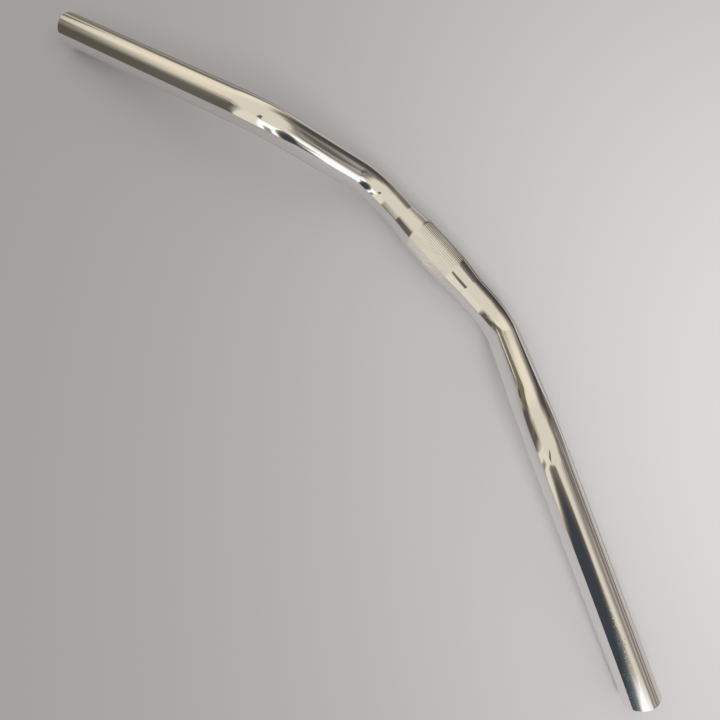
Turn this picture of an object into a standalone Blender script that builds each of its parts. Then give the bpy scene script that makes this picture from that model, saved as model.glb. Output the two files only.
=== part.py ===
"""Riser handlebar for a bicycle: one bent aluminium tube with a knurled clamp zone.

The bar is modelled as it is fitted to a bicycle, with X across, Y towards the saddle and Z up. It
is then laid down as it comes to rest on a flat surface, on its clamp zone and both grip ends.
Metres, +Z up. The origin is the middle of the resting bar's box, on that surface.
"""

import math

import bmesh
import bpy
from mathutils import Matrix, Quaternion, Vector

# Tube
TUBE_DIAMETER = 0.0222
WALL = 0.0021
EDGE_BREAK = 0.0004

# Clamp zone, swelled out of the middle of the tube
CLAMP_DIAMETER = 0.0254
TAPER_LENGTH = 0.0155

# Straight knurl, rolled along the clamp zone
KNURL_LENGTH = 0.0375
KNURL_MARGIN = 0.0008
GROOVE_PITCH = 0.0016
GROOVE_DEPTH = 0.00025
GROOVE_RUN_OUT = 0.0012

# Runs and bends of one half, from the clamp zone out to the grip end
SHOULDER_LENGTH = 0.0147
INNER_BEND_RADIUS = 0.042
RISE_LENGTH = 0.049
OUTER_BEND_RADIUS = 0.050
GRIP_LENGTH = 0.153

# Where the runs point, upwards and back from the clamp zone's line
RISE_UP_ANGLE = math.radians(47.0)
RISE_BACK_ANGLE = math.radians(12.0)
GRIP_UP_ANGLE = math.radians(0.0)
GRIP_BACK_ANGLE = math.radians(21.0)

# Fineness of the faceted surface
SIDES = 36
EDGE_SEGMENTS = 2
BEND_STEP = math.radians(5.0)
SHARP_ANGLE = math.radians(30.0)
MERGE_DISTANCE = 1e-5

# Polished aluminium
POLISHED_COLOUR = (0.80, 0.78, 0.73, 1.0)
POLISHED_ROUGHNESS = 0.12


class Skin:
    """A round wall drawn out along the bar, with the ring of edges at its open end."""

    def __init__(self, mesh, sides, radius, start_x):
        facing_across = Matrix.Translation((start_x, 0.0, 0.0)) @ Matrix.Rotation(math.pi / 2, 4, "Y")
        ring = bmesh.ops.create_circle(mesh, segments=sides, radius=radius, matrix=facing_across)
        self.mesh = mesh
        self.centre = Vector((start_x, 0.0, 0.0))
        self.heading = Vector((1.0, 0.0, 0.0))
        self.radius = radius
        self.first_edges = list({edge for vert in ring["verts"] for edge in vert.link_edges})
        self.edges = self.first_edges

    def end_verts(self):
        return list({vert for edge in self.edges for vert in edge.verts})

    def draw_straight(self, length, radius=None):
        """Draw the open end straight out, to another radius where one is given."""
        new = bmesh.ops.extrude_edge_only(self.mesh, edges=self.edges)["geom"]
        new_verts = {item for item in new if isinstance(item, bmesh.types.BMVert)}
        self.edges = [item for item in new
                      if isinstance(item, bmesh.types.BMEdge) and new_verts.issuperset(item.verts)]
        self.centre = self.centre + self.heading * length
        bmesh.ops.translate(self.mesh, verts=self.end_verts(), vec=self.heading * length)
        if radius is not None:
            share = radius / self.radius
            bmesh.ops.scale(self.mesh, verts=self.end_verts(), vec=(share, share, share),
                            space=Matrix.Translation(-self.centre))
            self.radius = radius

    def draw_bend(self, heading, bend_radius):
        """Turn the open end to a new heading, on an arc of this radius at the tube's middle."""
        angle = self.heading.angle(heading)
        axis = self.heading.cross(heading).normalized()
        hub = self.centre + axis.cross(self.heading) * bend_radius
        turned = bmesh.ops.spin(self.mesh, geom=self.edges, cent=hub, axis=axis, angle=angle,
                                steps=max(1, math.ceil(angle / BEND_STEP)))
        self.edges = [item for item in turned["geom_last"] if isinstance(item, bmesh.types.BMEdge)]
        self.centre = hub + Quaternion(axis, angle) @ (self.centre - hub)
        self.heading = heading

    def draw_half_bar(self, tube_radius):
        """Draw the skin from the end of the clamp zone out to the grip end."""
        self.draw_straight(TAPER_LENGTH, tube_radius)
        self.draw_straight(SHOULDER_LENGTH)
        self.draw_bend(run_heading(RISE_UP_ANGLE, RISE_BACK_ANGLE), INNER_BEND_RADIUS)
        self.draw_straight(RISE_LENGTH)
        self.draw_bend(run_heading(GRIP_UP_ANGLE, GRIP_BACK_ANGLE), OUTER_BEND_RADIUS)
        self.draw_straight(GRIP_LENGTH)


def clear_scene():
    for thing in list(bpy.data.objects):
        bpy.data.objects.remove(thing, do_unlink=True)


def run_heading(up_angle, back_angle):
    """Unit vector along a straight run of the +X half."""
    level = math.cos(up_angle)
    return Vector((level * math.cos(back_angle), level * math.sin(back_angle), math.sin(up_angle)))


def add_knurl(mesh):
    """Half of the knurled band, from the bar's middle to where the grooves run out."""
    crest = CLAMP_DIAMETER / 2
    root = crest - GROOVE_DEPTH
    grooves = round(math.pi * CLAMP_DIAMETER / GROOVE_PITCH)
    band = Skin(mesh, 3 * grooves, crest, 0.0)
    around = sorted(band.end_verts(), key=lambda vert: math.atan2(vert.co.z, vert.co.y))
    bmesh.ops.scale(mesh, verts=around[::3], vec=(1.0, root / crest, root / crest))
    band.draw_straight(KNURL_LENGTH / 2 - GROOVE_RUN_OUT)
    band.draw_straight(GROOVE_RUN_OUT)
    for vert in band.end_verts():
        vert.co.yz = vert.co.yz.normalized() * crest
    return band


def add_outside(mesh):
    """The outer skin of the +X half."""
    knurl = add_knurl(mesh)
    clamp_end = KNURL_LENGTH / 2 + KNURL_MARGIN
    outside = Skin(mesh, SIDES, CLAMP_DIAMETER / 2, clamp_end)
    bmesh.ops.bridge_loops(mesh, edges=knurl.edges + outside.first_edges)
    outside.draw_half_bar(TUBE_DIAMETER / 2)
    return outside


def add_bore(mesh):
    """The bore of the +X half, which keeps its wall where the clamp zone swells."""
    bore = Skin(mesh, SIDES, CLAMP_DIAMETER / 2 - WALL, 0.0)
    bore.draw_straight(KNURL_LENGTH / 2 + KNURL_MARGIN)
    bore.draw_half_bar(TUBE_DIAMETER / 2 - WALL)
    return bore


def close_end(mesh, outside, bore):
    """Face the grip end square to the tube, in to the bore, and break its two edges."""
    outer_ring = outside.edges
    outside.draw_straight(0.0, bore.radius)
    meeting = outside.end_verts() + bore.end_verts()
    bmesh.ops.remove_doubles(mesh, verts=meeting, dist=MERGE_DISTANCE)
    mouth = {vert for vert in meeting if vert.is_valid}
    inner_ring = [edge for edge in mesh.edges if mouth.issuperset(edge.verts)]
    bmesh.ops.recalc_face_normals(mesh, faces=mesh.faces)
    bmesh.ops.bevel(mesh, geom=outer_ring + inner_ring, offset=EDGE_BREAK, segments=EDGE_SEGMENTS,
                    profile=0.5, affect="EDGES", material=-1)


def resting_turn(end, heading):
    """How far the bar tips backwards about X until its grip ends touch down with the clamp zone."""
    low, high = 0.0, math.pi / 2
    while high - low > 1e-9:
        turn = (low + high) / 2
        tip = Matrix.Rotation(-turn, 3, "X")
        reach = TUBE_DIAMETER / 2 * math.sqrt(1 - (tip @ heading).z ** 2)
        if (tip @ end).z - reach > -CLAMP_DIAMETER / 2:
            low = turn
        else:
            high = turn
    return low


def polished_aluminium():
    material = bpy.data.materials.new("polished_aluminium")
    material.use_nodes = True
    shader = material.node_tree.nodes["Principled BSDF"]
    shader.inputs["Base Color"].default_value = POLISHED_COLOUR
    shader.inputs["Metallic"].default_value = 1.0
    shader.inputs["Roughness"].default_value = POLISHED_ROUGHNESS
    return material


def lay_down(bar, turn):
    """Tip the bar back to its rest and set its box's bottom middle on the origin."""
    tip = Matrix.Rotation(-turn, 3, "X")
    places = [tip @ vert.co for vert in bar.data.vertices]
    nearest = min(place.y for place in places)
    farthest = max(place.y for place in places)
    bar.rotation_euler = tip.to_euler()
    bar.location = (0.0, -(nearest + farthest) / 2, -min(place.z for place in places))


def build_handlebar():
    shape = bmesh.new()
    outside = add_outside(shape)
    bore = add_bore(shape)
    close_end(shape, outside, bore)
    bmesh.ops.mirror(shape, geom=shape.verts[:] + shape.edges[:] + shape.faces[:], axis="X",
                     merge_dist=MERGE_DISTANCE)
    bmesh.ops.recalc_face_normals(shape, faces=shape.faces)

    mesh = bpy.data.meshes.new("handlebar_tube")
    shape.to_mesh(mesh)
    shape.free()
    mesh.shade_smooth()
    mesh.set_sharp_from_angle(angle=SHARP_ANGLE)
    mesh.materials.append(polished_aluminium())
    bar = bpy.data.objects.new("handlebar_tube", mesh)
    bpy.context.scene.collection.objects.link(bar)
    lay_down(bar, resting_turn(outside.centre - outside.heading * EDGE_BREAK, outside.heading))


clear_scene()
build_handlebar()
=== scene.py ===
import math

import bmesh
import bpy
from bpy.props import FloatProperty, FloatVectorProperty, IntProperty, PointerProperty
from mathutils import Matrix, Quaternion, Vector


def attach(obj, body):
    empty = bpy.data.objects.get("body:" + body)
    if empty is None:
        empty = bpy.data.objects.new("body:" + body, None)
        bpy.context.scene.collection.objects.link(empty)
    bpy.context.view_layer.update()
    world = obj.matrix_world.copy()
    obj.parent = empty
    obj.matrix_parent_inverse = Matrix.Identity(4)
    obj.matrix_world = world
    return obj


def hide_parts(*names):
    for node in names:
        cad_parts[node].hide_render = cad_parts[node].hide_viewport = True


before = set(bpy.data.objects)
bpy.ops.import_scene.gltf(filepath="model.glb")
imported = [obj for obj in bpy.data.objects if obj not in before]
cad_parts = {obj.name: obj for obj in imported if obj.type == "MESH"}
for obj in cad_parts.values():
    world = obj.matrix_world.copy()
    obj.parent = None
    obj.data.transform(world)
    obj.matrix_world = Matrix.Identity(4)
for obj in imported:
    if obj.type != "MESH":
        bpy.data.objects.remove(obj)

bl_info = {
    "name": "Riser Handlebar",
    "version": (1, 0, 0),
    "blender": (4, 5, 0),
    "location": "View3D > Sidebar > Handlebar",
    "description": "Models a polished aluminium riser handlebar and the studio around it",
    "category": "Object",
}

NODE = "handlebar_tube"

MERGE_DISTANCE = 1e-6
TURN_PRECISION = 1e-9
SHARP_ANGLE = math.radians(40.0)
EDGE_SEGMENTS = 3
# Attributes of a mesh's points: the place on the straight tube, and the colour of a card
STRAIGHTENED = "straightened"
SHADE = "shade"

# A groove of the knurl in cross section: rows of points counted from its bottom, and the share of
# the groove's depth that each is sunk by
GROOVE_PROFILE = ((0, 1.0), (1, 0.65), (-1, 0.65), (2, 0.2), (-2, 0.2))

# Patterns on the metal, as cycles per metre along the tube and across it. The drawn lines are
# under 0.1 mm wide on the real tube, too fine for the picture, so they are drawn 1.5 mm wide and
# shallow.
DRAWN_LINES = (10.0, 650.0)
DULL_PATCHES = (18.0, 70.0)
SPECKLE = (650.0, 1100.0)
# Between these values of their noise the polish runs over into a dull patch
DULL_RANGE = (0.45, 0.65)
# Between these distances from the tube's middle the polish ends and the dull bore begins
BORE_FADE = (0.0092, 0.0096)
# Speckled knocks and scuffs on the -X grip: the middle's place along the straight tube in metres
# and round it in degrees, half the length and half the turn, the share left free between the
# specks, and the colour
MARKS = (
    ("nicks", -0.2585, 119.0, 0.006, 9.0, 0.50, "#FFFFFF"),
    ("nicks_below", -0.2690, 117.0, 0.009, 10.0, 0.47, "#FFFFFF"),
    ("nicks_along", -0.2900, 109.0, 0.030, 8.0, 0.54, "#F4F7F4"),
    ("scuff", -0.2840, 106.0, 0.006, 16.0, 0.47, "#8A9F92"),
    ("scuff_below", -0.3060, 92.0, 0.005, 16.0, 0.48, "#8A9F92"),
    ("scuff_end", -0.3190, 87.0, 0.007, 14.0, 0.48, "#8A9F92"),
)
# How much rarer the specks get from a mark's middle to its edge, and the soft rim of each speck
# below and above the share left free
SPECKS_THIN_OUT = 0.16
SPECK_RIM = (0.02, 0.04)

# The photograph's viewpoint: where the camera stands, the way its top points and its field of view
CAMERA_PLACE = (-0.06446, 0.16200, 0.33009)
CAMERA_BACK = (-0.10984, 0.33542, 0.93562)
CAMERA_UP = (0.75538, -0.58345, 0.29780)
SENSOR_WIDTH_MM = 36.0
FOCAL_LENGTH_MM = 25.965
CLIP_START = 0.01

# The lamp: the bearing and height that it stands at in degrees, its distance, and where on the
# floor it points, which is beyond the side that is bright in the photograph
LAMP_PLACE = (140.0, 45.0, 1.2)
LAMP_AIM = (-0.2, -0.6, 0.0)

# A polished metal looks like what stands around it, so soft cards stand where the photograph's
# reflections need them, in front of this backdrop
CARD_BACKDROP = "#E1D9C8"
# Far off: the middle's bearing from +X and height, half the width and height, the fade of the
# sides and of the top and bottom, how far the middle moves sideways per degree up and up per
# degree sideways, all in degrees; colour and brightness
FAR_CARDS = (
    ("cream_right", 322.0, 20.0, 20.0, 26.0, 25.0, 24.0, 0.4, 0.0, "#F5E8D2", 1.0),
    ("peach_left", 11.0, 31.5, 27.0, 6.5, 17.5, 8.5, -0.2, 0.0, "#F3E6D1", 1.0),
    ("olive_left", 11.0, 1.5, 15.0, 16.0, 21.0, 25.0, 0.35, 0.0, "#4C4539", 1.0),
    ("umber_left", 6.0, 11.2, 18.0, 11.0, 6.0, 3.0, 0.0, 0.2, "#77715F", 1.0),
    ("charcoal_left", 46.5, 1.0, 20.0, 26.0, 21.0, 29.0, -0.4, 0.0, "#5A544C", 1.0),
    ("grey_left", 66.0, 3.0, 11.0, 33.0, 22.0, 19.0, -0.3, 0.0, "#5F5B53", 1.0),
    ("cream_front", 91.0, 12.0, 14.0, 28.0, 5.0, 10.0, 0.0, 0.0, "#E8DFCD", 1.0),
    ("white_front", 141.5, 9.0, 37.5, 27.0, 5.0, 5.0, 0.0, 0.0, "#FFFFFF", 1.15),
    ("brown_streak", 102.0, 52.0, 4.5, 10.0, 3.0, 8.0, -0.1, 0.0, "#6F665C", 1.0),
    ("brown_back_left", 207.0, 24.0, 29.0, 31.0, 23.5, 17.5, -0.2, 0.0, "#A0988F", 1.0),
    ("brown_back", 243.5, 24.5, 34.0, 36.0, 19.0, 16.0, -0.2, 0.0, "#847E79", 1.0),
    ("brown_back_right", 275.0, 29.0, 23.0, 25.5, 22.0, 30.0, 0.15, 0.0, "#766C63", 1.0),
    ("rose_low", 305.0, -0.5, 16.5, 14.0, 13.5, 9.5, 0.2, 0.0, "#8B8280", 1.0),
    ("olive_low", 335.0, 1.0, 17.0, 17.0, 20.0, 11.0, -0.7, 0.0, "#797368", 1.0),
    ("grey_low", 219.5, -6.5, 16.5, 16.5, 13.0, 13.0, 0.05, 0.0, "#B9B4AE", 1.0),
    ("strip_dark_1", 214.0, 10.5, 20.0, 2.4, 8.0, 2.0, 0.0, 0.1, "#786D66", 1.0),
    ("strip_light_1", 216.0, 19.0, 18.0, 2.0, 8.0, 2.0, 0.0, 0.5, "#C0B7AE", 1.0),
    ("strip_dark_2", 211.0, 29.4, 14.0, 2.2, 6.0, 2.0, 0.0, 0.67, "#6A5F57", 1.0),
    ("strip_light_2", 200.0, 34.5, 12.0, 2.0, 6.0, 2.0, 0.0, 0.9, "#C4BBB2", 1.0),
    ("strip_dark_3", 190.0, 42.0, 9.0, 2.4, 4.0, 2.0, 0.0, 1.4, "#776C61", 1.0),
    ("arc_light", 238.0, 37.5, 12.0, 2.0, 6.0, 3.0, 0.0, -0.1, "#A39C97", 1.0),
    ("arc_dark_1", 222.0, 43.5, 20.0, 2.6, 8.0, 3.0, 0.0, 0.15, "#676059", 1.0),
    ("arc_dark_2", 271.0, 29.0, 13.0, 10.0, 8.0, 8.0, 0.0, 0.0, "#565050", 1.0),
    ("umber_back", 275.5, 14.0, 7.5, 15.0, 5.0, 8.0, 0.0, 0.0, "#4C4743", 1.0),
    ("rose_edge", 50.0, 34.0, 14.5, 4.0, 8.5, 3.5, 0.0, 0.0, "#C3AFA3", 1.0),
    ("pale_low", 293.5, -3.0, 7.0, 13.0, 2.0, 4.5, 0.1, 0.0, "#C2BDBA", 1.0),
)
# The papers of the cards close by; the greys are painted shadow, for the card on the floor
PAPERS = {
    "navy": "#3F434A",
    "slate": "#575B61",
    "umber": "#5C5752",
    "silver": "#888C8E",
    "ash": "#9A9690",
    "stone": "#867E71",
    "beige": "#999287",
    "cream": "#DED6C4",
    "ivory": "#EEEAE2",
    "white": "#FFFFFF",
    "pale_grey": "#D2CECC",
    "light_grey": "#C0BCBA",
    "middle_grey": "#AFAAA5",
    "brown_grey": "#8C857B",
    "dark_grey": "#777169",
}
# Close by: the bearing that a card faces and its distance, then its outlines from the inside out,
# each with its points' places in metres along the card and up, and with their papers. The colour
# runs over softly from one outline to the next.
NEAR_CARDS = (
    ("navy_card", 140.0, 0.45, (
        ((0.018, -0.16, "navy"), (0.020, 0.03, "navy"), (0.032, 0.09, "navy"),
         (0.040, 0.14, "navy"), (0.038, 0.185, "navy"), (0.015, 0.225, "navy"),
         (-0.02, 0.25, "navy"), (-0.06, 0.24, "navy"), (-0.10, 0.20, "navy"),
         (-0.12, 0.13, "navy"), (-0.13, 0.05, "navy"), (-0.13, -0.16, "navy")),
        ((0.043, -0.16, "slate"), (0.048, 0.03, "slate"), (0.060, 0.085, "slate"),
         (0.072, 0.13, "slate"), (0.085, 0.19, "umber"), (0.090, 0.28, "umber"),
         (0.060, 0.33, "umber"), (-0.03, 0.33, "umber"), (-0.115, 0.27, "umber"),
         (-0.148, 0.18, "umber"), (-0.152, 0.07, "umber"), (-0.148, -0.16, "umber")),
        ((0.062, -0.16, "silver"), (0.068, 0.03, "silver"), (0.078, 0.09, "silver"),
         (0.095, 0.135, "ash"), (0.135, 0.19, "ash"), (0.115, 0.31, "ash"),
         (0.075, 0.385, "stone"), (-0.02, 0.43, "stone"), (-0.145, 0.315, "stone"),
         (-0.168, 0.19, "stone"), (-0.172, 0.07, "stone"), (-0.17, -0.16, "stone")),
        ((0.078, -0.16, "white"), (0.084, 0.03, "white"), (0.096, 0.09, "white"),
         (0.122, 0.128, "white"), (0.185, 0.19, "cream"), (0.135, 0.34, "cream"),
         (0.10, 0.43, "cream"), (-0.01, 0.49, "cream"), (-0.175, 0.335, "cream"),
         (-0.205, 0.20, "cream"), (-0.20, 0.07, "cream"), (-0.20, -0.16, "cream")))),
    ("beige_card", 140.0, 0.46, (
        ((-0.355, -0.16, "beige"), (-0.295, -0.16, "beige"), (-0.29, 0.14, "beige"),
         (-0.36, 0.14, "beige")),
        ((-0.385, -0.16, "cream"), (-0.27, -0.16, "ivory"), (-0.265, 0.22, "ivory"),
         (-0.39, 0.22, "cream")))),
)
# Painted shadow: a card lying on the floor behind the bar, which shows in the metal alone, in the
# greys of the bar's own shadow on the floor, darkest close to the bar. Its rows: points under the
# bar, the bearing that each mirrors, and its paper close to the bar and far from it
PAINTED_FLOOR_SHADOW = (
    (-0.320, 0.059, 207.0, "pale_grey", "pale_grey"),
    (-0.280, 0.048, 217.0, "light_grey", "pale_grey"),
    (-0.210, 0.028, 228.0, "middle_grey", "pale_grey"),
    (-0.153, 0.011, 239.0, "middle_grey", "pale_grey"),
    (-0.103, -0.016, 257.0, "middle_grey", "light_grey"),
    (-0.073, -0.036, 265.0, "middle_grey", "light_grey"),
    (-0.047, -0.046, 272.0, "dark_grey", "light_grey"),
    (0.000, -0.049, 280.0, "brown_grey", "light_grey"),
    (0.047, -0.046, 289.0, "middle_grey", "middle_grey"),
    (0.080, -0.030, 302.0, "middle_grey", "middle_grey"),
    (0.118, -0.006, 311.0, "brown_grey", "middle_grey"),
    (0.172, 0.017, 325.0, "brown_grey", "dark_grey"),
    (0.230, 0.034, 331.0, "brown_grey", "dark_grey"),
    (0.280, 0.048, 336.0, "brown_grey", "dark_grey"),
    (0.320, 0.059, 341.0, "middle_grey", "middle_grey"),
)
# From the bar to where that card starts, to where its close paper ends and to where it ends, and
# how far above the floor it lies
PAINTED_SHADOW_REACH = (0.0, 0.10, 0.32)
PAINTED_SHADOW_LIFT = 0.0005
# The floor shows in the metal as far as a table's two edges, each given by the bearing that it
# faces and its distance
TABLE_EDGES = ((55.0, 0.264), (140.6, 0.290))


def srgb(code):
    """An sRGB hex colour as linear red, green and blue."""
    parts = [int(code[place:place + 2], 16) / 255.0 for place in (1, 3, 5)]
    return tuple(part / 12.92 if part <= 0.04045 else ((part + 0.055) / 1.055) ** 2.4
                 for part in parts)


def add_node(tree, kind, settings=None, inputs=None, links=None):
    """Add a node with its settings and its inputs' values, and link its inputs to outputs."""
    node = tree.nodes.new(kind)
    for name, value in (settings or {}).items():
        setattr(node, name, value)
    for name, value in (inputs or {}).items():
        node.inputs[name].default_value = value
    for name, output in (links or {}).items():
        tree.links.new(output, node.inputs[name])
    return node


class HandlebarSizes(bpy.types.PropertyGroup):
    """The bar's sizes, which are the CAD model's, with its fineness."""

    tube_diameter: FloatProperty(
        name="Tube Diameter", description="Across the tube outside the clamp zone",
        default=0.0222, unit="LENGTH")
    wall: FloatProperty(
        name="Wall", description="Thickness of the tube's wall", default=0.0021, unit="LENGTH")
    edge_break: FloatProperty(
        name="Edge Break", description="Rounding of the edges at the cut ends",
        default=0.0004, unit="LENGTH")
    clamp_diameter: FloatProperty(
        name="Clamp Diameter", description="Across the swelled clamp zone",
        default=0.0254, unit="LENGTH")
    taper_length: FloatProperty(
        name="Taper Length", description="Length of each cone beside the clamp zone",
        default=0.0155, unit="LENGTH")
    end_margin: FloatProperty(
        name="End Margin", description="From each end of a run to the ring that keeps its "
        "reflections straight", default=0.0005, unit="LENGTH")
    knurl_length: FloatProperty(
        name="Knurl Length", description="Length of the straight knurl",
        default=0.0375, unit="LENGTH")
    knurl_margin: FloatProperty(
        name="Knurl Margin", description="Plain band between the knurl and the cone",
        default=0.0008, unit="LENGTH")
    groove_pitch: FloatProperty(
        name="Groove Pitch", description="From one groove of the knurl to the next",
        default=0.0016, unit="LENGTH")
    groove_depth: FloatProperty(
        name="Groove Depth", description="Depth of the knurl's grooves",
        default=0.00025, unit="LENGTH")
    groove_run_out: FloatProperty(
        name="Groove Run-out", description="Length over which a groove rises to the surface",
        default=0.0012, unit="LENGTH")
    shoulder_length: FloatProperty(
        name="Shoulder Length", description="Straight run from the cone to the first bend",
        default=0.0147, unit="LENGTH")
    inner_bend_radius: FloatProperty(
        name="Inner Bend Radius", description="Radius of the first bend at the tube's middle",
        default=0.042, unit="LENGTH")
    rise_length: FloatProperty(
        name="Rise Length", description="Straight run between the two bends",
        default=0.049, unit="LENGTH")
    outer_bend_radius: FloatProperty(
        name="Outer Bend Radius", description="Radius of the second bend at the tube's middle",
        default=0.050, unit="LENGTH")
    grip_length: FloatProperty(
        name="Grip Length", description="Straight run from the second bend to the end",
        default=0.153, unit="LENGTH")
    rise_up_angle: FloatProperty(
        name="Rise Up Angle", description="How steeply the rise climbs",
        default=math.radians(47.0), subtype="ANGLE")
    rise_back_angle: FloatProperty(
        name="Rise Back Angle", description="How far the rise sweeps back",
        default=math.radians(12.0), subtype="ANGLE")
    grip_up_angle: FloatProperty(
        name="Grip Up Angle", description="How steeply the grip climbs",
        default=0.0, subtype="ANGLE")
    grip_back_angle: FloatProperty(
        name="Grip Back Angle", description="How far the grip sweeps back",
        default=math.radians(21.0), subtype="ANGLE")
    sides: IntProperty(
        name="Sides", description="Faces around the tube", default=144)
    groove_sides: IntProperty(
        name="Groove Sides", description="Faces around each groove and its crest", default=12)
    bend_step: FloatProperty(
        name="Bend Step", description="Turn between two rings of a bend",
        default=math.radians(1.5), subtype="ANGLE")


class HandlebarFinish(bpy.types.PropertyGroup):
    """Colours and gloss of the polished metal."""

    metal_colour: FloatVectorProperty(
        name="Metal Colour", description="Colour of the polished aluminium",
        default=srgb("#F1F0EE"), size=3, subtype="COLOR")
    roughness: FloatProperty(
        name="Roughness", description="How much the polish blurs what it reflects",
        default=0.03, subtype="FACTOR")
    dull_roughness: FloatProperty(
        name="Dull Roughness", description="The same where handling has dulled it",
        default=0.06, subtype="FACTOR")
    line_depth: FloatProperty(
        name="Line Depth", description="Height of the fine lines along the tube",
        default=0.000004, unit="LENGTH", precision=7)
    bore_roughness: FloatProperty(
        name="Bore Roughness", description="The same in the bore, which isn't polished",
        default=0.55, subtype="FACTOR")
    mark_roughness: FloatProperty(
        name="Mark Roughness", description="The same inside a nick or a scuff",
        default=0.5, subtype="FACTOR")


class HandlebarStudio(bpy.types.PropertyGroup):
    """The floor, the backdrop and the light around the bar."""

    floor_colour: FloatVectorProperty(
        name="Floor Colour", description="Colour of the pale floor",
        default=srgb("#CBC8C8"), size=3, subtype="COLOR")
    floor_width: FloatProperty(
        name="Floor Width", description="Length of the floor's sides",
        default=6.0, unit="LENGTH")
    backdrop_colour: FloatVectorProperty(
        name="Backdrop Colour", description="Colour of the plain backdrop beyond the floor",
        default=srgb("#E4E1DE"), size=3, subtype="COLOR")
    fill_colour: FloatVectorProperty(
        name="Fill Colour", description="Colour of the even light from all around",
        default=srgb("#FFFDFB"), size=3, subtype="COLOR")
    fill_light: FloatProperty(
        name="Fill Light", description="Strength of the even light from all around", default=0.60)
    lamp_power: FloatProperty(
        name="Lamp Power", description="Power of the lamp in watts", default=2.3)
    lamp_width: FloatProperty(
        name="Lamp Width", description="Length of the lamp's sides", default=0.5, unit="LENGTH")
    lamp_beam: FloatProperty(
        name="Lamp Beam", description="Angle that the lamp's light spreads over",
        default=math.radians(60.0), subtype="ANGLE")


class Skin:
    """A round wall drawn out along the bar, with the ring of edges at its open end.

    Each point also keeps its place on the straight tube that the bar was bent from, so that the
    marks on the metal follow its surface.
    """

    def __init__(self, mesh, sizes, sides, radius, start_x):
        self.centre = Vector((start_x, 0.0, 0.0))
        facing_across = Matrix.Translation(self.centre) @ Matrix.Rotation(math.pi / 2, 4, "Y")
        ring = bmesh.ops.create_circle(mesh, segments=sides, radius=radius, matrix=facing_across)
        self.mesh = mesh
        self.sizes = sizes
        self.heading = Vector((1.0, 0.0, 0.0))
        self.radius = radius
        self.travel = start_x
        self.straightened = mesh.verts.layers.float_vector[STRAIGHTENED]
        self.first_edges = list({edge for vert in ring["verts"] for edge in vert.link_edges})
        self.edges = self.first_edges
        for vert in ring["verts"]:
            vert[self.straightened] = vert.co

    def end_verts(self):
        return list({vert for edge in self.edges for vert in edge.verts})

    def note_travel(self, length, share=1.0):
        """Write the open end's place on the straight tube."""
        self.travel += length
        for vert in self.end_verts():
            was = vert[self.straightened]
            vert[self.straightened] = (self.travel, was[1] * share, was[2] * share)

    def draw_straight(self, length, radius=None):
        """Draw the open end straight out, to another radius where one is given."""
        new = bmesh.ops.extrude_edge_only(self.mesh, edges=self.edges)["geom"]
        new_verts = {item for item in new if isinstance(item, bmesh.types.BMVert)}
        self.edges = [item for item in new
                      if isinstance(item, bmesh.types.BMEdge) and new_verts.issuperset(item.verts)]
        self.centre = self.centre + self.heading * length
        bmesh.ops.translate(self.mesh, verts=self.end_verts(), vec=self.heading * length)
        share = 1.0 if radius is None else radius / self.radius
        if radius is not None:
            bmesh.ops.scale(self.mesh, verts=self.end_verts(), vec=(share, share, share),
                            space=Matrix.Translation(-self.centre))
            self.radius = radius
        self.note_travel(length, share)

    def draw_run(self, length, radius=None):
        """Draw a run or a cone, with a ring close to each end to keep its reflections straight."""
        start_radius, drawn = self.radius, 0.0
        for reach in (self.sizes.end_margin, length - self.sizes.end_margin, length):
            step, drawn = reach - drawn, reach
            self.draw_straight(step, None if radius is None
                               else start_radius + (radius - start_radius) * reach / length)

    def draw_bend(self, heading, bend_radius):
        """Turn the open end to a new heading, on an arc of this radius at the tube's middle."""
        angle = self.heading.angle(heading)
        axis = self.heading.cross(heading).normalized()
        hub = self.centre + axis.cross(self.heading) * bend_radius
        steps = max(1, math.ceil(angle / self.sizes.bend_step))
        for _ in range(steps):
            turned = bmesh.ops.spin(self.mesh, geom=self.edges, cent=hub, axis=axis,
                                    angle=angle / steps, steps=1)
            self.edges = [item for item in turned["geom_last"]
                          if isinstance(item, bmesh.types.BMEdge)]
            self.note_travel(bend_radius * angle / steps)
        self.centre = hub + Quaternion(axis, angle) @ (self.centre - hub)
        self.heading = heading

    def draw_half_bar(self, tube_radius):
        """Draw the skin from the end of the clamp zone out to the grip end."""
        sizes = self.sizes
        self.draw_run(sizes.taper_length, tube_radius)
        self.draw_run(sizes.shoulder_length)
        self.draw_bend(run_heading(sizes.rise_up_angle, sizes.rise_back_angle),
                       sizes.inner_bend_radius)
        self.draw_run(sizes.rise_length)
        self.draw_bend(run_heading(sizes.grip_up_angle, sizes.grip_back_angle),
                       sizes.outer_bend_radius)
        # The last ring stands where the rounded edge at the cut end begins
        self.draw_run(sizes.grip_length - sizes.edge_break)
        self.draw_straight(sizes.edge_break)


def run_heading(up_angle, back_angle):
    """Unit vector along a straight run of the +X half."""
    level = math.cos(up_angle)
    return Vector((level * math.cos(back_angle), level * math.sin(back_angle), math.sin(up_angle)))


def add_knurl(mesh, sizes):
    """Half of the knurled band, from the bar's middle to where the grooves run out."""
    crest = sizes.clamp_diameter / 2
    grooves = round(math.pi * sizes.clamp_diameter / sizes.groove_pitch)
    band = Skin(mesh, sizes, sizes.groove_sides * grooves, crest, 0.0)
    around = sorted(band.end_verts(), key=lambda vert: math.atan2(vert.co.z, vert.co.y))
    for row, share in GROOVE_PROFILE:
        sunk = (crest - sizes.groove_depth * share) / crest
        bmesh.ops.scale(mesh, verts=around[row % sizes.groove_sides::sizes.groove_sides],
                        vec=(1.0, sunk, sunk))
    band.draw_straight(sizes.knurl_length / 2 - sizes.groove_run_out)
    band.draw_straight(sizes.groove_run_out)
    for vert in band.end_verts():
        vert.co.yz = vert.co.yz.normalized() * crest
    return band


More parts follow.
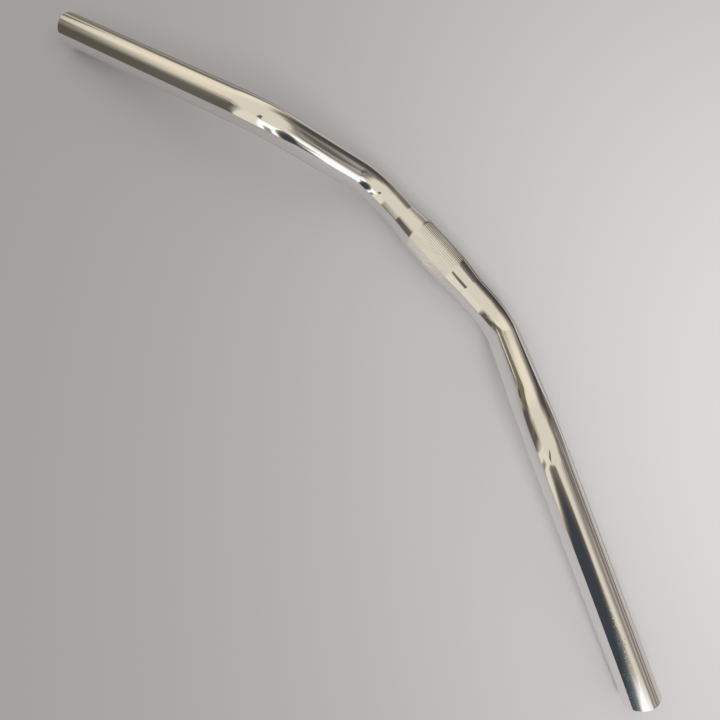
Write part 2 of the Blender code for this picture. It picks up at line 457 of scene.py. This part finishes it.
def add_outside(mesh, sizes):
    """The outer skin of the +X half."""
    knurl = add_knurl(mesh, sizes)
    clamp_end = sizes.knurl_length / 2 + sizes.knurl_margin
    outside = Skin(mesh, sizes, sizes.sides, sizes.clamp_diameter / 2, clamp_end)
    bmesh.ops.bridge_loops(mesh, edges=knurl.edges + outside.first_edges)
    outside.draw_half_bar(sizes.tube_diameter / 2)
    return outside


def add_bore(mesh, sizes):
    """The bore of the +X half, which keeps its wall where the clamp zone swells."""
    bore = Skin(mesh, sizes, sizes.sides, sizes.clamp_diameter / 2 - sizes.wall, 0.0)
    bore.draw_straight(sizes.knurl_length / 2 + sizes.knurl_margin)
    bore.draw_half_bar(sizes.tube_diameter / 2 - sizes.wall)
    return bore


def close_end(mesh, sizes, outside, bore):
    """Face the grip end square to the tube, in to the bore, and round its two edges."""
    outer_ring = outside.edges
    outside.draw_straight(0.0, bore.radius)
    meeting = outside.end_verts() + bore.end_verts()
    bmesh.ops.remove_doubles(mesh, verts=meeting, dist=MERGE_DISTANCE)
    mouth = {vert for vert in meeting if vert.is_valid}
    inner_ring = [edge for edge in mesh.edges if mouth.issuperset(edge.verts)]
    bmesh.ops.recalc_face_normals(mesh, faces=mesh.faces)
    bmesh.ops.bevel(mesh, geom=outer_ring + inner_ring, offset=sizes.edge_break,
                    segments=EDGE_SEGMENTS, profile=0.5, affect="EDGES", material=-1)


def mirror_half(mesh):
    """Add the -X half and turn its places on the straight tube over too."""
    bmesh.ops.mirror(mesh, geom=mesh.verts[:] + mesh.edges[:] + mesh.faces[:], axis="X",
                     merge_dist=MERGE_DISTANCE)
    straightened = mesh.verts.layers.float_vector[STRAIGHTENED]
    for vert in mesh.verts:
        if vert.co.x < -MERGE_DISTANCE:
            place = vert[straightened]
            vert[straightened] = (-place[0], place[1], place[2])
    bmesh.ops.recalc_face_normals(mesh, faces=mesh.faces)


def resting_turn(sizes, end, heading):
    """How far the bar tips back about X until its grip ends touch down with the clamp zone."""
    low, high = 0.0, math.pi / 2
    while high - low > TURN_PRECISION:
        turn = (low + high) / 2
        tip = Matrix.Rotation(-turn, 3, "X")
        reach = sizes.tube_diameter / 2 * math.sqrt(1 - (tip @ heading).z ** 2)
        if (tip @ end).z - reach > -sizes.clamp_diameter / 2:
            low = turn
        else:
            high = turn
    return low


def lay_down(mesh, turn):
    """Tip the bar back to its rest, with the bottom middle of its box on the origin."""
    bmesh.ops.rotate(mesh, verts=mesh.verts, cent=(0.0, 0.0, 0.0),
                     matrix=Matrix.Rotation(-turn, 3, "X"))
    nearest = min(vert.co.y for vert in mesh.verts)
    farthest = max(vert.co.y for vert in mesh.verts)
    lowest = min(vert.co.z for vert in mesh.verts)
    bmesh.ops.translate(mesh, verts=mesh.verts, vec=(0.0, -(nearest + farthest) / 2, -lowest))


def add_place(tree, scale):
    """Places on the straight tube, in metres, times a scale along it and one across it."""
    place = add_node(tree, "ShaderNodeAttribute", {"attribute_name": STRAIGHTENED})
    along, across = scale
    return add_node(tree, "ShaderNodeVectorMath", {"operation": "MULTIPLY"},
                    {1: (along, across, across)}, {0: place.outputs["Vector"]}).outputs["Vector"]


def add_mark(tree, along, turn, speckle, mark):
    """How much of a speckled mark lies at a place on the tube, from 0 to 1."""
    place, angle, half_length, half_turn, free = mark
    offsets = []
    for here, middle, edge in ((along, place, place + half_length),
                               (turn, math.radians(angle), math.radians(angle + half_turn))):
        offsets.append(add_node(tree, "ShaderNodeMapRange", {"clamp": False},
                                {"From Min": middle, "From Max": edge}, {"Value": here}))
    off = add_node(tree, "ShaderNodeCombineXYZ", None, None,
                   {"X": offsets[0].outputs[0], "Y": offsets[1].outputs[0]})
    far = add_node(tree, "ShaderNodeVectorMath", {"operation": "LENGTH"}, None,
                   {0: off.outputs[0]})
    left = add_node(tree, "ShaderNodeMath", {"operation": "MULTIPLY_ADD"}, {1: -SPECKS_THIN_OUT},
                    {0: far.outputs["Value"], 2: speckle})
    below, above = SPECK_RIM
    return add_node(tree, "ShaderNodeMapRange", None,
                    {"From Min": free - below, "From Max": free + above},
                    {"Value": left.outputs[0]}).outputs[0]


def polished_aluminium(finish):
    """Drawn aluminium tube, polished to a mirror.

    It gives the eye a sharp mirror, with the faint lines along the tube that drawing and buffing
    leave in what it shows, patches that handling has dulled by a shade, and white nicks and
    greenish scuffs where the -X grip was knocked. The bore is dull, as it was drawn.
    """
    material = bpy.data.materials.new("aluminium_mirror_polished")
    material.use_nodes = True
    tree = material.node_tree
    shader = tree.nodes["Principled BSDF"]
    shader.inputs["Metallic"].default_value = 1.0

    lines = add_node(tree, "ShaderNodeTexNoise", None, {"Scale": 1.0, "Detail": 1.0},
                     {"Vector": add_place(tree, DRAWN_LINES)})
    ridges = add_node(tree, "ShaderNodeBump", None, {"Distance": finish.line_depth},
                      {"Height": lines.outputs[0]})
    tree.links.new(ridges.outputs[0], shader.inputs["Normal"])

    patches = add_node(tree, "ShaderNodeTexNoise", None, {"Scale": 1.0, "Detail": 2.0},
                       {"Vector": add_place(tree, DULL_PATCHES)})
    dulled = add_node(tree, "ShaderNodeMapRange", None,
                      {"From Min": DULL_RANGE[0], "From Max": DULL_RANGE[1],
                       "To Min": finish.roughness, "To Max": finish.dull_roughness},
                      {"Value": patches.outputs[0]})
    place = add_place(tree, (1.0, 1.0))
    axes = add_node(tree, "ShaderNodeSeparateXYZ", None, None, {"Vector": place})
    turn = add_node(tree, "ShaderNodeMath", {"operation": "ARCTAN2"}, None,
                    {0: axes.outputs["Z"], 1: axes.outputs["Y"]})
    speckle = add_node(tree, "ShaderNodeTexNoise", None, {"Scale": 1.0, "Detail": 2.0},
                       {"Vector": add_place(tree, SPECKLE)})
    middle = add_node(tree, "ShaderNodeVectorMath", {"operation": "LENGTH"}, None,
                      {0: add_place(tree, (0.0, 1.0))})
    bore = add_node(tree, "ShaderNodeMapRange", None,
                    {"From Min": BORE_FADE[1], "From Max": BORE_FADE[0]},
                    {"Value": middle.outputs["Value"]})
    rough = add_node(tree, "ShaderNodeMix", {"data_type": "FLOAT"}, {"B": finish.bore_roughness},
                     {"Factor": bore.outputs[0], "A": dulled.outputs[0]}).outputs[0]
    colour = add_node(tree, "ShaderNodeRGB")
    colour.outputs[0].default_value = (*finish.metal_colour, 1.0)
    for name, *mark, code in MARKS:
        share = add_mark(tree, axes.outputs["X"], turn.outputs[0], speckle.outputs[0], mark)
        rough = add_node(tree, "ShaderNodeMix", {"data_type": "FLOAT"},
                         {"B": finish.mark_roughness}, {"Factor": share, "A": rough}).outputs[0]
        colour = add_node(tree, "ShaderNodeMixRGB", {"label": name},
                          {"Color2": (*srgb(code), 1.0)},
                          {"Fac": share, "Color1": colour.outputs[0]})
    tree.links.new(rough, shader.inputs["Roughness"])
    tree.links.new(colour.outputs[0], shader.inputs["Base Color"])
    return material


def add_object(shape, name, material):
    """Turn a shape into an object of one material in the scene."""
    mesh = bpy.data.meshes.new(name)
    shape.to_mesh(mesh)
    shape.free()
    mesh.materials.append(material)
    thing = bpy.data.objects.new(name, mesh)
    bpy.context.scene.collection.objects.link(thing)
    return thing


class HANDLEBAR_OT_tube(bpy.types.Operator):
    """Model the bent tube with its knurled clamp zone"""

    bl_idname = "handlebar.tube"
    bl_label = "Handlebar Tube"

    def execute(self, context):
        sizes = context.scene.handlebar_sizes
        shape = bmesh.new()
        shape.verts.layers.float_vector.new(STRAIGHTENED)
        outside = add_outside(shape, sizes)
        bore = add_bore(shape, sizes)
        close_end(shape, sizes, outside, bore)
        mirror_half(shape)
        end = outside.centre - outside.heading * sizes.edge_break
        lay_down(shape, resting_turn(sizes, end, outside.heading))

        tube = add_object(shape, "polished_tube",
                          polished_aluminium(context.scene.handlebar_finish))
        tube.data.shade_smooth()
        tube.data.set_sharp_from_angle(angle=SHARP_ANGLE)
        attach(tube, "root")
        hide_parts(NODE)
        return {"FINISHED"}


def towards(bearing):
    """The level unit vector that points a bearing in degrees from +X."""
    return Vector((math.cos(math.radians(bearing)), math.sin(math.radians(bearing)), 0.0))


def matt_laminate(studio):
    """Pale matt laminate, which shows no reflections, so that only the bar mirrors the cards."""
    material = bpy.data.materials.new("laminate_matt")
    material.use_nodes = True
    shader = material.node_tree.nodes["Principled BSDF"]
    shader.inputs["Base Color"].default_value = (*studio.floor_colour, 1.0)
    shader.inputs["Roughness"].default_value = 1.0
    shader.inputs["Specular IOR Level"].default_value = 0.0
    return material


def add_floor(studio):
    """One plain pale floor, in the part that shows in the metal and the part beyond."""
    material = matt_laminate(studio)
    for name, shows_in_metal in (("floor", True), ("floor_beyond", False)):
        shape = bmesh.new()
        bmesh.ops.create_grid(shape, x_segments=1, y_segments=1, size=studio.floor_width / 2)
        for bearing, distance in TABLE_EDGES:
            bmesh.ops.bisect_plane(shape, geom=shape.verts[:] + shape.edges[:] + shape.faces[:],
                                   plane_co=towards(bearing) * distance,
                                   plane_no=towards(bearing))
        spare = [face for face in shape.faces if shows_in_metal != all(
            face.calc_center_median().dot(towards(bearing)) < distance
            for bearing, distance in TABLE_EDGES)]
        bmesh.ops.delete(shape, geom=spare, context="FACES")
        floor = add_object(shape, name, material)
        floor.visible_glossy = shows_in_metal


def far_card_mask(tree, bearing, height, card):
    """How much of a far card lies in a direction, from 0 to 1."""
    middle, level, half_width, half_height, side_fade, top_fade, lean, slope = card
    off = add_node(tree, "ShaderNodeMath", {"operation": "SUBTRACT"}, {1: middle}, {0: bearing})
    across = add_node(tree, "ShaderNodeMath", {"operation": "WRAP"}, {1: 180.0, 2: -180.0},
                      {0: off.outputs[0]})
    up = add_node(tree, "ShaderNodeMath", {"operation": "SUBTRACT"}, {1: level}, {0: height})
    leaned = add_node(tree, "ShaderNodeMath", {"operation": "MULTIPLY_ADD"}, {1: -lean},
                      {0: up.outputs[0], 2: across.outputs[0]})
    sloped = add_node(tree, "ShaderNodeMath", {"operation": "MULTIPLY_ADD"}, {1: -slope},
                      {0: across.outputs[0], 2: up.outputs[0]})
    shares = []
    for distance, half, fade in ((leaned, half_width, side_fade), (sloped, half_height, top_fade)):
        size = add_node(tree, "ShaderNodeMath", {"operation": "ABSOLUTE"}, None,
                        {0: distance.outputs[0]})
        shares.append(add_node(tree, "ShaderNodeMapRange", {"interpolation_type": "SMOOTHSTEP"},
                               {"From Min": half + fade / 2, "From Max": half - fade / 2},
                               {"Value": size.outputs[0]}))
    return add_node(tree, "ShaderNodeMath", {"operation": "MULTIPLY"}, None,
                    {0: shares[0].outputs[0], 1: shares[1].outputs[0]}).outputs[0]


def add_surroundings(studio):
    """Even fill light, the far cards in the polished metal, and a plain pale backdrop."""
    world = bpy.data.worlds.new("studio")
    world.use_nodes = True
    tree = world.node_tree
    tree.nodes.clear()
    way = add_node(tree, "ShaderNodeTexCoord")
    axes = add_node(tree, "ShaderNodeSeparateXYZ", None, None,
                    {"Vector": way.outputs["Generated"]})
    turn = add_node(tree, "ShaderNodeMath", {"operation": "ARCTAN2"}, None,
                    {0: axes.outputs["Y"], 1: axes.outputs["X"]})
    bearing = add_node(tree, "ShaderNodeMath", {"operation": "DEGREES"}, None,
                       {0: turn.outputs[0]})
    climb = add_node(tree, "ShaderNodeMath", {"operation": "ARCSINE"}, None,
                     {0: axes.outputs["Z"]})
    height = add_node(tree, "ShaderNodeMath", {"operation": "DEGREES"}, None,
                      {0: climb.outputs[0]})
    seen = add_node(tree, "ShaderNodeRGB")
    seen.outputs[0].default_value = (*srgb(CARD_BACKDROP), 1.0)
    for name, *card, code, brightness in FAR_CARDS:
        colour = [part * brightness for part in srgb(code)]
        mask = far_card_mask(tree, bearing.outputs[0], height.outputs[0], card)
        seen = add_node(tree, "ShaderNodeMixRGB", {"label": name}, {"Color2": (*colour, 1.0)},
                        {"Fac": mask, "Color1": seen.outputs[0]})
    path = add_node(tree, "ShaderNodeLightPath")
    mirrored = add_node(tree, "ShaderNodeBackground", None, None, {"Color": seen.outputs[0]})
    fill = add_node(tree, "ShaderNodeBackground", None,
                    {"Color": (*studio.fill_colour, 1.0), "Strength": studio.fill_light})
    backdrop = add_node(tree, "ShaderNodeBackground", None,
                        {"Color": (*studio.backdrop_colour, 1.0)})
    lit = add_node(tree, "ShaderNodeMixShader", None, None,
                   {0: path.outputs["Is Glossy Ray"], 1: fill.outputs[0], 2: mirrored.outputs[0]})
    shown = add_node(tree, "ShaderNodeMixShader", None, None,
                     {0: path.outputs["Is Camera Ray"], 1: lit.outputs[0],
                      2: backdrop.outputs[0]})
    add_node(tree, "ShaderNodeOutputWorld", None, None, {"Surface": shown.outputs[0]})
    bpy.context.scene.world = world


def shaded_paper():
    """Paper whose colour runs over softly, of its own brightness so that no lamp changes it."""
    material = bpy.data.materials.new("card_shaded_paper")
    material.use_nodes = True
    material.cycles.emission_sampling = "NONE"
    tree = material.node_tree
    shade = add_node(tree, "ShaderNodeAttribute", {"attribute_name": SHADE})
    glow = add_node(tree, "ShaderNodeEmission", None, None, {"Color": shade.outputs["Color"]})
    tree.links.new(glow.outputs[0], tree.nodes["Material Output"].inputs["Surface"])
    return material


def place_card(shape, material, name):
    """Put a card in the scene where it shows in the metal alone."""
    card = add_object(shape, name, material)
    card.visible_camera = False
    card.visible_diffuse = False
    card.visible_shadow = False


def add_point(shape, place, paper):
    """A card's point, in the colour of its paper."""
    point = shape.verts.new(place)
    point[shape.verts.layers.float_color[SHADE]] = (*srgb(PAPERS[paper]), 1.0)
    return point


def add_upright_card(material, name, bearing, distance, outlines):
    """An upright card beside the bar."""
    out = towards(bearing)
    along = Vector((-out.y, out.x, 0.0))
    shape = bmesh.new()
    shape.verts.layers.float_color.new(SHADE)
    inner = None
    for outline in outlines:
        rim = [add_point(shape, out * distance + along * across + Vector((0.0, 0.0, height)),
                         paper)
               for across, height, paper in outline]
        if inner is None:
            bmesh.ops.contextual_create(shape, geom=rim)
        else:
            for step in range(len(rim)):
                shape.faces.new((inner[step - 1], rim[step - 1], rim[step], inner[step]))
        inner = rim
    place_card(shape, material, name)


def add_painted_shadow_card(material):
    """The card on the floor behind the bar, with the bar's shadow on the floor painted on it in
    greys.
    """
    shape = bmesh.new()
    shape.verts.layers.float_color.new(SHADE)
    before = None
    for x, y, bearing, near, far in PAINTED_FLOOR_SHADOW:
        row = [add_point(shape, Vector((x, y, PAINTED_SHADOW_LIFT)) + towards(bearing) * reach, paper)
               for reach, paper in zip(PAINTED_SHADOW_REACH, (near, near, far))]
        if before is not None:
            for step in range(1, len(row)):
                shape.faces.new((before[step - 1], row[step - 1], row[step], before[step]))
        before = row
    place_card(shape, material, "painted_floor_shadow")


def add_lamp(studio):
    """A soft square lamp with a wide beam, that doesn't show in the metal."""
    bearing, height, distance = LAMP_PLACE
    climb = math.radians(height)
    place = (towards(bearing) * math.cos(climb) + Vector((0.0, 0.0, math.sin(climb)))) * distance
    data = bpy.data.lights.new("lamp", "AREA")
    data.shape = "SQUARE"
    data.size = studio.lamp_width
    data.spread = studio.lamp_beam
    data.energy = studio.lamp_power
    lamp = bpy.data.objects.new("lamp", data)
    lamp.location = place
    lamp.rotation_euler = (place - Vector(LAMP_AIM)).to_track_quat("Z", "Y").to_euler()
    lamp.visible_glossy = False
    bpy.context.scene.collection.objects.link(lamp)


def add_camera():
    """The camera at the photograph's viewing angle."""
    data = bpy.data.cameras.new("camera")
    data.sensor_width = SENSOR_WIDTH_MM
    data.lens = FOCAL_LENGTH_MM
    data.clip_start = CLIP_START
    camera = bpy.data.objects.new("camera", data)
    back = Vector(CAMERA_BACK).normalized()
    right = Vector(CAMERA_UP).cross(back).normalized()
    up = back.cross(right)
    turn = Matrix((right, up, back)).transposed().to_4x4()
    camera.matrix_world = Matrix.Translation(CAMERA_PLACE) @ turn
    bpy.context.scene.collection.objects.link(camera)
    bpy.context.scene.camera = camera


class HANDLEBAR_OT_stage(bpy.types.Operator):
    """Set out the floor, the cards, the light and the camera"""

    bl_idname = "handlebar.stage"
    bl_label = "Studio Stage"

    def execute(self, context):
        scene = context.scene
        add_floor(scene.handlebar_studio)
        add_surroundings(scene.handlebar_studio)
        paper = shaded_paper()
        for card in NEAR_CARDS:
            add_upright_card(paper, *card)
        # The card on the floor carries painted shadow, which shows in the metal alone
        add_painted_shadow_card(paper)
        add_lamp(scene.handlebar_studio)
        add_camera()
        scene.view_settings.view_transform = "Standard"
        return {"FINISHED"}


class HANDLEBAR_PT_panel(bpy.types.Panel):
    """Lists the handlebar's sizes, finish and pieces"""

    bl_label = "Handlebar"
    bl_idname = "HANDLEBAR_PT_panel"
    bl_space_type = "VIEW_3D"
    bl_region_type = "UI"
    bl_category = "Handlebar"

    def draw(self, context):
        layout = self.layout
        for title, group in (("Sizes", context.scene.handlebar_sizes),
                             ("Finish", context.scene.handlebar_finish),
                             ("Studio", context.scene.handlebar_studio)):
            box = layout.box()
            box.label(text=title)
            for name in group.__annotations__:
                box.prop(group, name)
        layout.operator(HANDLEBAR_OT_tube.bl_idname)
        layout.operator(HANDLEBAR_OT_stage.bl_idname)


CLASSES = (HandlebarSizes, HandlebarFinish, HandlebarStudio,
           HANDLEBAR_OT_tube, HANDLEBAR_OT_stage, HANDLEBAR_PT_panel)


def register():
    for each in CLASSES:
        bpy.utils.register_class(each)
    bpy.types.Scene.handlebar_sizes = PointerProperty(type=HandlebarSizes)
    bpy.types.Scene.handlebar_finish = PointerProperty(type=HandlebarFinish)
    bpy.types.Scene.handlebar_studio = PointerProperty(type=HandlebarStudio)


def unregister():
    del bpy.types.Scene.handlebar_sizes
    del bpy.types.Scene.handlebar_finish
    del bpy.types.Scene.handlebar_studio
    for each in reversed(CLASSES):
        bpy.utils.unregister_class(each)


def main():
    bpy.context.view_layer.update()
    register()
    bpy.ops.handlebar.tube()
    bpy.ops.handlebar.stage()


if __name__ == "__main__":
    main()
